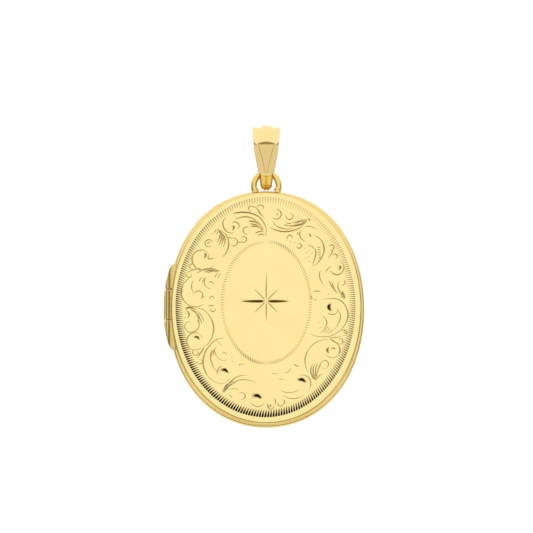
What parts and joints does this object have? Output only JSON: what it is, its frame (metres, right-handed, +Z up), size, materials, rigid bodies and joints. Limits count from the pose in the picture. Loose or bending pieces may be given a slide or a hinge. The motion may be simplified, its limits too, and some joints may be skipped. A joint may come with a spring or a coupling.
{
  "type": "locket",
  "caption": "Oval locket that opens on a side hinge, with a domed engraved front, a framed photo compartment in each cover, a snap lip, a soldered ring and a leaf-shaped bail.",
  "frame": {"origin": "centre of the bail's chain eye, on the case's centre line", "axes": "+Z up as the locket hangs, -Y to the front, +X to the side away from the hinge"},
  "size_m": [0.033, 0.0064, 0.0499],
  "materials": {
    "polished_gold": "polished",
    "engraved_gold": "polished, bright-cut engraved",
    "deep_gold": "polished",
    "satin_gold": "satin",
    "clear_window": "clear",
    "blank_card": "matt"
  },
  "bodies": {
    "bail": {"bail_leaf": "polished_gold", "bail_tongue": "deep_gold"},
    "case": {"back_cover": "polished_gold", "back_edge_bead": "deep_gold", "lip_ring": "satin_gold", "catch_bead": "satin_gold", "hinge_knuckle_upper": "deep_gold", "hinge_knuckle_lower": "deep_gold", "hinge_bearer_back": "satin_gold", "hinge_pin": "satin_gold", "hanging_ring": "deep_gold", "back_inner_plate": "satin_gold", "back_photo_frame": "polished_gold", "back_window": "clear_window", "back_photo_card": "blank_card"},
    "cover": {"front_cover": "engraved_gold", "front_edge_band": "deep_gold", "front_inner_plate": "satin_gold", "hinge_knuckle_middle": "deep_gold", "hinge_bearer_front": "satin_gold", "front_photo_frame": "polished_gold", "front_window": "clear_window", "front_photo_card": "blank_card"}
  },
  "joints": [
    {"name": "case_swing", "type": "hinge", "parent": "bail", "child": "case", "pos_m": [0, 0, -0.00504], "axis": [1, 0, 0], "range_deg": [-60, 60]},
    {"name": "cover_open", "type": "hinge", "parent": "case", "child": "cover", "pos_m": [-0.01515, 0.00005, -0.0275], "axis": [0, 0, -1], "range_deg": [0, 170]}
  ]
}
